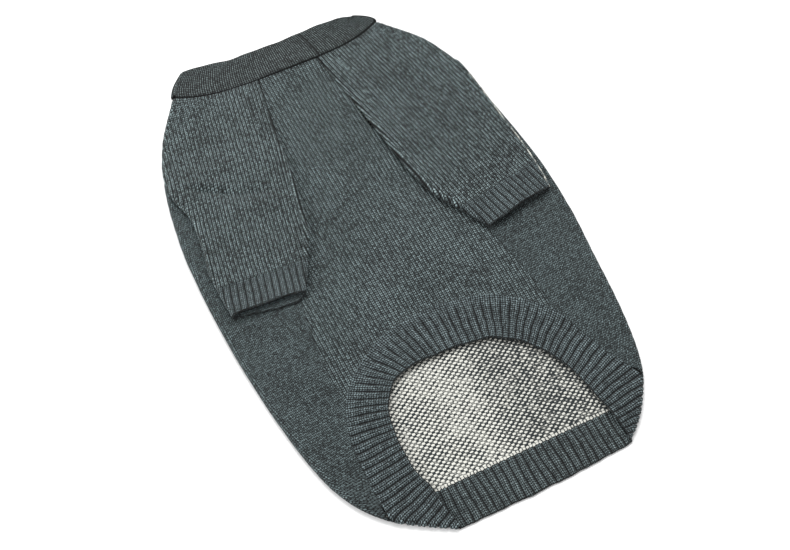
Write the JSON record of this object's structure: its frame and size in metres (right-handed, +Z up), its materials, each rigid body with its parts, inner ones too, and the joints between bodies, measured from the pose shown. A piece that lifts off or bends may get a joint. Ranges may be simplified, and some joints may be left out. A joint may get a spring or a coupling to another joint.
{
  "type": "dog sweater",
  "caption": "Fine-knit dog pullover laid flat, belly side up, with raglan sleeves, ribbed collar and cuffs and a ribbed cut-away at the rear.",
  "frame": {"origin": "on the surface it lies on, under the middle of the laid garment", "axes": "+Y towards the neck, +X to the right seen from above with the neck up, +Z up out of the belly side"},
  "size_m": [0.2505, 0.3966, 0.0135],
  "materials": {
    "plain_knit": "matte fine stockinette, dark slate grey",
    "jacquard_knit": "matte jacquard knit, plain dark outside, cream and charcoal birdseye inside",
    "rib_knit": "matte ribbed knit, dark slate grey"
  },
  "bodies": {
    "root": {"back_panel": "jacquard_knit", "belly_panel": "plain_knit", "sleeve_left": "plain_knit", "sleeve_right": "plain_knit", "cuff_left": "rib_knit", "cuff_right": "rib_knit", "collar": "rib_knit", "belly_band": "rib_knit", "tail_band": "rib_knit"}
  },
  "joints": []
}
